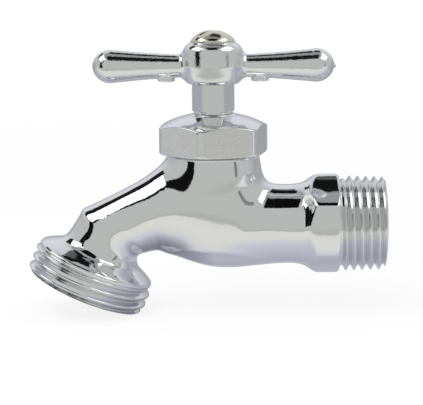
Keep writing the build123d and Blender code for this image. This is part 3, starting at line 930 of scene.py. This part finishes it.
class HOSEBIBB_OT_body(bpy.types.Operator):
    """Build the cast body with its waterway and both threads"""

    bl_idname = "hose_bibb.body"
    bl_label = "Cast Body"

    def execute(self, context):
        sizes = context.scene.hose_bibb.body
        points, quads, normals = skin(body_field, BODY_LOW, BODY_HIGH, sizes.grain / MM)
        depth, pitch = sizes.inlet_depth / MM, sizes.inlet_pitch / MM
        inlet, inlet_faces = threaded_end(
            INLET_END - BOSS_FACE, INLET_CREST, depth, pitch, INLET_START, v_ridge,
            chamfer=0.7, bore=INLET_MOUTH_R, fade=1.2, taper=1 / 32,
        )
        depth, pitch = sizes.hose_depth / MM, sizes.hose_pitch / MM
        hose, hose_faces = threaded_end(
            HOSE_LENGTH, HOSE_CREST, depth, pitch, HOSE_START, round_ridge,
            chamfer=0.6, bore=HOSE_MOUTH_R, fade=0.8,
        )
        parts = merged(
            (points, quads.tolist(), 0, normals),
            (placed(inlet, INLET_PLACE), inlet_faces, 1, None),
            (placed(hose, HOSE_PLACE), hose_faces, 1, None),
        )
        looks = [finish("casting"), finish("threads")]
        piece("cast_body", parts, looks, "valve_body", "body")
        return {"FINISHED"}


class HOSEBIBB_OT_packing_nut(bpy.types.Operator):
    """Build the six-sided packing nut"""

    bl_idname = "hose_bibb.packing_nut"
    bl_label = "Packing Nut"

    def execute(self, context):
        sizes = context.scene.hose_bibb.nut
        half = sizes.across_flats / MM / 2

        def six_sided(r, z, angle):
            return join(r, hexagon(half, angle - sizes.turn), NUT_EDGE)

        outline = NUT_FOOT + [(NUT_R, z) for z in np.linspace(*NUT_SIDE_Z, 14)]
        place = range(len(NUT_DOME_R))
        t = np.linspace(0, len(NUT_DOME_R) - 1, 90)
        outline += list(zip(smooth_line(place, NUT_DOME_R, t), smooth_line(place, NUT_DOME_Z, t)))
        points, quads = turned(outline + NUT_INSIDE, 360, six_sided)
        # The flats take the satin finish, and end at the nut's rounded corners and dome
        x, y, _ = points.T
        flat = hexagon(half, np.arctan2(y, x) - sizes.turn)
        on_flat = (np.hypot(x, y) > flat - 0.06)[quads].all(axis=1)
        parts = merged((points, quads.tolist(), np.where(on_flat, 1, 0), None))
        looks = [finish("casting"), finish("flats")]
        piece("packing_nut_skin", parts, looks, "valve_body", "packing_nut")
        return {"FINISHED"}


class HOSEBIBB_OT_handle(bpy.types.Operator):
    """Build the T-shaped handle with its six-sided column"""

    bl_idname = "hose_bibb.handle"
    bl_label = "Handle"

    def execute(self, context):
        sizes = context.scene.hose_bibb.handle
        grain = sizes.grain / MM
        # The parting line runs midway between two layers of the grid, which keeps its crease even
        low_z = PARTING_Z - grain * (int((PARTING_Z - HANDLE_LOW[2]) / grain) + 0.5)
        points, quads, normals = skin(handle_field, (*HANDLE_LOW[:2], low_z), HANDLE_HIGH, grain)
        half = sizes.column_flats / MM / 2

        def six_sided(r, z, angle):
            rise = np.clip((z - COLUMN_FLATS_START) / 0.3, 0, 1)
            flats = join(hexagon(half, angle), COLUMN_CORNER_R, 0.1)
            side = join(r, COLUMN_FOOT_R + rise * (flats - COLUMN_FOOT_R), 0.2)
            return np.where(r > COLUMN_BORE_R, side, r)

        outline = COLUMN_FOOT + [(COLUMN_R, z) for z in np.linspace(*COLUMN_SIDE_Z, 48)] + COLUMN_INSIDE
        column, column_quads = turned(outline, 240, six_sided)
        parts = merged((points, quads.tolist(), 0, normals), (column, column_quads.tolist(), 0, None))
        piece("handle_casting", parts, [finish("handle")], "spindle", "handle")
        return {"FINISHED"}


class HOSEBIBB_OT_handle_screw(bpy.types.Operator):
    """Build the domed screw that holds the handle"""

    bl_idname = "hose_bibb.handle_screw"
    bl_label = "Handle Screw"

    def execute(self, context):
        turn = context.scene.hose_bibb.handle.slot_turn

        def field(points):
            return screw_field(points, turn)

        points, quads, normals = skin(field, SCREW_LOW, SCREW_HIGH, SCREW_GRAIN)
        parts = merged((points, quads.tolist(), 0, normals))
        piece("domed_screw", parts, [finish("screw")], "spindle", "handle_screw")
        return {"FINISHED"}


class HOSEBIBB_OT_stem(bpy.types.Operator):
    """Finish the stem, the seat washer and its screw"""

    bl_idname = "hose_bibb.stem"
    bl_label = "Stem and Washer"

    def execute(self, context):
        dress("stem", "brass")
        dress("washer_screw", "brass")
        dress("seat_washer", "rubber")
        return {"FINISHED"}


class HOSEBIBB_OT_packing(bpy.types.Operator):
    """Finish the washer, the packing and the gland ring under the nut"""

    bl_idname = "hose_bibb.packing"
    bl_label = "Packing"

    def execute(self, context):
        dress("thrust_washer", "brass")
        dress("gland_ring", "brass")
        dress("packing_ring", "packing")
        return {"FINISHED"}


# ---------------- studio


# Metres: the floor's half size and its gap under the tap, and the boards' places about the tap
FLOOR_HALF = 3.0
FLOOR_GAP = 0.1 * MM
STUDIO_CENTRE = Vector((-30, 0, 15)) * MM
BOARD_HEIGHT = 0.6
STAND_DISTANCE = 0.5

# Painted reflection of the floor as the metal shows it, front to back: grey table, painted light on the
# paper, and painted shade under the tap
PAINTED_FLOOR_SHADES = [
    (-0.16, "#C2C3C0"),
    (-0.115, "#B9B9B6"),
    (-0.100, "#BCBCB9"),
    (-0.088, "#E2E1DD"),
    (-0.050, "#E6E5E0"),
    (-0.035, "#E2E1DF"),
    (-0.022, "#CFCFDB"),
    (-0.002, "#B4B5C2"),
    (0.020, "#C0C1CC"),
    (0.06, "#ACADB2"),
]
# The camera, fitted to the photograph: its turn, fall and roll, and in mm where it looks and from how far
CAMERA_TURN = radians(-0.83)
CAMERA_FALL = radians(9.3)
CAMERA_ROLL = radians(-0.5)
CAMERA_AIM = (-30.075, 0, 4.775)
CAMERA_DISTANCE = 372


def sheet(name, corners, look):
    """A four-sided sheet with its look."""
    mesh = bpy.data.meshes.new(name)
    mesh.from_pydata(corners, [], [(0, 1, 2, 3)])
    mesh.materials.append(look)
    made = bpy.data.objects.new(name, mesh)
    bpy.context.scene.collection.objects.link(made)
    return made


def emission(tree, colour, strength=1.0):
    """A shader that gives its own light."""
    return add(tree, "ShaderNodeEmission", {"Color": colour, "Strength": strength}).outputs["Emission"]


def paper_floor(colour):
    """A floor of pale paper, which the camera sees almost white and the metal sees as a painted reflection,
    with painted light and shade.
    """
    paint, tree, output = material("Pale paper floor")
    ray = add(tree, "ShaderNodeLightPath").outputs
    place = add(tree, "ShaderNodeTexCoord").outputs["Object"]
    spot = add(tree, "ShaderNodeSeparateXYZ", {0: place}).outputs
    # The shades run a little askew, and from their first place to their last
    askew = {0: spot["X"], 1: 0.15, 2: spot["Y"]}
    depth = add(tree, "ShaderNodeMath", askew, operation="MULTIPLY_ADD").outputs[0]
    first, last = PAINTED_FLOOR_SHADES[0][0], PAINTED_FLOOR_SHADES[-1][0]
    stops = [((y - first) / (last - first), code) for y, code in PAINTED_FLOOR_SHADES]
    shades = ramp(tree, spread(tree, depth, first, last), stops)
    # Painted contact shadow where the hose end all but touches the paper
    shade = spread(tree, distance(tree, place, (-0.055, 0.004, 0)), 0.025, 0.012, high=0.8)
    # The metal sees the floor as given-off light: painted light on the paper and painted shade
    painted_reflection = emission(tree, blended(tree, shade, shades, linear("#6E6F78")))
    paper = add(tree, "ShaderNodeBsdfDiffuse", {"Color": (*colour, 1)}).outputs["BSDF"]
    seen = {0: ray["Is Glossy Ray"], 1: paper, 2: painted_reflection}
    seen = add(tree, "ShaderNodeMixShader", seen).outputs["Shader"]
    # Away from the tap the camera sees less of its shadow
    fade = spread(tree, distance(tree, place, (-0.03, 0, 0)), 0.1, 0.45, low=0.86)
    white_share = product(tree, ray["Is Camera Ray"], fade)
    shown = {0: white_share, 1: seen, 2: emission(tree, linear("#FFFFFF"))}
    shown = add(tree, "ShaderNodeMixShader", shown).outputs["Shader"]
    tree.links.new(shown, output.inputs["Surface"])
    corners = [(x * FLOOR_HALF, y * FLOOR_HALF, 0) for x, y in ((-1, -1), (1, -1), (1, 1), (-1, 1))]
    floor = sheet("floor", corners, paint)
    floor.location = (0, 0, CAD_BOX[0].z - FLOOR_GAP)


def studio_world():
    """The room: shown in full by the metal only, an even grey light on all else, and white to the camera."""
    world = bpy.data.worlds.new("Studio")
    bpy.context.scene.world = world
    world.use_nodes = True
    tree = world.node_tree
    tree.nodes.clear()
    ray = add(tree, "ShaderNodeLightPath").outputs
    place = add(tree, "ShaderNodeTexCoord").outputs["Generated"]
    direction = add(tree, "ShaderNodeSeparateXYZ", {0: place}).outputs
    # Walls: grey in front of the tap and beside it, pale behind it
    walls = ramp(tree, direction["Y"], [(0.0, "#C2C3C1"), (0.4, "#C6C7C8"), (0.8, "#E0E1E8")])
    # The room behind the tap is dim down by the floor
    dim = spread(tree, direction["Z"], 0.4, 0.04)
    behind = spread(tree, direction["Y"], 0.05, 0.5, high=0.9)
    walls = blended(tree, product(tree, dim, behind), walls, linear("#A2A3A8"))
    ceiling = spread(tree, direction["Z"], 0.86, 0.9)
    room = blended(tree, ceiling, walls, linear("#9C9DA0"))
    plain = blended(tree, ray["Is Glossy Ray"], linear("#E0E0E0"), room)
    shown = blended(tree, ray["Is Camera Ray"], plain, linear("#FFFFFF"))
    light = add(tree, "ShaderNodeBackground", {"Color": shown, "Strength": 1.0}).outputs["Background"]
    add(tree, "ShaderNodeOutputWorld", {"Surface": light})


def panel(name, corners, code, strength=1.0):
    """A board of the studio that shows only in what the metal reflects. Corners are in m from the tap."""
    paint, tree, output = material(name)
    tree.links.new(emission(tree, linear(code), strength), output.inputs["Surface"])
    made = sheet(name, [STUDIO_CENTRE + Vector(corner) for corner in corners], paint)
    made.visible_camera = False
    made.visible_diffuse = False
    made.visible_shadow = False
    made.visible_transmission = False


def overhead(name, left, right, front, back, code, strength=1.0):
    """A board that lies flat above the tap, with its edges in m from it."""
    corners = [(left, front), (right, front), (right, back), (left, back)]
    panel(name, [(*corner, BOARD_HEIGHT) for corner in corners], code, strength)


def upright(name, low, low_span, high, high_span, code):
    """A board beside the tap: two heights, and at each its span, in degrees as the tap sees it."""
    corners = []
    for rise, turns in ((low, low_span), (high, high_span[::-1])):
        corners += [(sin(radians(a)), cos(radians(a)), tan(radians(rise))) for a in turns]
    panel(name, [[place * STAND_DISTANCE for place in corner] for corner in corners], code)


def studio_boards():
    """Softboxes and flags above the tap, and stands beside it: left, right, front and back edges in turn."""
    overhead("left softbox", -0.8, -0.33, -0.33, 0.235, "#FFFFFF", 1.6)
    overhead("right softbox", 0.3, 0.8, -0.35, 0.22, "#FFFFFF", 1.6)
    overhead("black flag behind the left softbox", -0.9, -0.36, 0.245, 0.62, "#1A1A1A")
    overhead("black flag over the front", -0.2, 0.18, -0.44, -0.05, "#0C0C0C")
    overhead("black flag over the back", -0.07, 0.2, 0.17, 0.36, "#141414")
    overhead("grey flag over the back", -0.03, 0.18, 0.36, 0.47, "#5E5E5E")
    upright("dark stand on the left", -2, (-136, -116), 34, (-122, -102), "#101010")
    upright("dark pole on the left", 34, (-127, -118), 50, (-127, -118), "#101010")
    upright("grey stand on the right", -8, (123, 129), 24, (118, 126), "#848484")


def studio_lamp():
    """A soft lamp over the left front, which the metal does not show."""
    lamp = bpy.data.lights.new("softbox_lamp", "AREA")
    lamp.shape = "RECTANGLE"
    lamp.size, lamp.size_y = 0.5, 0.35
    lamp.energy = 2.2
    holder = bpy.data.objects.new("softbox_lamp", lamp)
    holder.location = (-0.22, -0.3, 0.5)
    holder.rotation_euler = (Vector((0.03, 0, 0)) - holder.location).to_track_quat("-Z", "Y").to_euler()
    holder.visible_glossy = False
    bpy.context.scene.collection.objects.link(holder)


def studio_camera(lens):
    """The camera, where the photograph was taken from."""
    scene = bpy.context.scene
    eye = bpy.data.cameras.new("camera")
    camera = bpy.data.objects.new("camera", eye)
    scene.collection.objects.link(camera)
    level = cos(CAMERA_FALL)
    forward = Vector((sin(CAMERA_TURN) * level, cos(CAMERA_TURN) * level, -sin(CAMERA_FALL)))
    right = forward.cross(Vector((0, 0, 1))).normalized()
    up = right.cross(forward)
    c, s = cos(CAMERA_ROLL), sin(CAMERA_ROLL)
    right, up = c * right + s * up, c * up - s * right
    place = Vector(CAMERA_AIM) * MM - forward * CAMERA_DISTANCE * MM
    camera.matrix_world = Matrix.Translation(place) @ Matrix((right, up, -forward)).transposed().to_4x4()
    eye.sensor_width = 36
    eye.lens = lens
    eye.clip_start = 0.01
    scene.camera = camera
    scene.view_settings.view_transform = "Standard"


class HOSEBIBB_OT_stage(bpy.types.Operator):
    """Set the floor, the studio's boards, the lamp and the camera"""

    bl_idname = "hose_bibb.stage"
    bl_label = "Studio"

    def execute(self, context):
        settings = context.scene.hose_bibb.stage
        paper_floor(settings.floor_colour)
        studio_world()
        studio_boards()
        studio_lamp()
        studio_camera(settings.lens)
        return {"FINISHED"}


# ---------------- panel and steps


class HOSEBIBB_PT_panel(bpy.types.Panel):
    """The hose bibb's pieces and their sizes"""

    bl_idname = "HOSEBIBB_PT_panel"
    bl_label = "Hose Bibb"
    bl_space_type = "VIEW_3D"
    bl_region_type = "UI"
    bl_category = "Hose Bibb"

    def draw(self, context):
        settings = context.scene.hose_bibb
        for operator, group in STEPS:
            box = self.layout.box()
            box.operator(operator.bl_idname)
            if group:
                values = getattr(settings, group)
                for name in values.__annotations__:
                    box.prop(values, name)


STEPS = [
    (HOSEBIBB_OT_stage, "stage"),
    (HOSEBIBB_OT_body, "body"),
    (HOSEBIBB_OT_packing_nut, "nut"),
    (HOSEBIBB_OT_handle, "handle"),
    (HOSEBIBB_OT_handle_screw, None),
    (HOSEBIBB_OT_stem, None),
    (HOSEBIBB_OT_packing, None),
]
CLASSES = [
    BodySettings,
    HandleSettings,
    NutSettings,
    StageSettings,
    HoseBibbSettings,
    *[operator for operator, _ in STEPS],
    HOSEBIBB_PT_panel,
]


def register():
    for item in CLASSES:
        bpy.utils.register_class(item)
    bpy.types.Scene.hose_bibb = PointerProperty(type=HoseBibbSettings)


def unregister():
    del bpy.types.Scene.hose_bibb
    for item in reversed(CLASSES):
        bpy.utils.unregister_class(item)


def main():
    register()
    bpy.ops.hose_bibb.stage()
    bpy.ops.hose_bibb.body()
    bpy.ops.hose_bibb.packing_nut()
    bpy.ops.hose_bibb.handle()
    bpy.ops.hose_bibb.handle_screw()
    bpy.ops.hose_bibb.stem()
    bpy.ops.hose_bibb.packing()


if __name__ == "__main__":
    main()
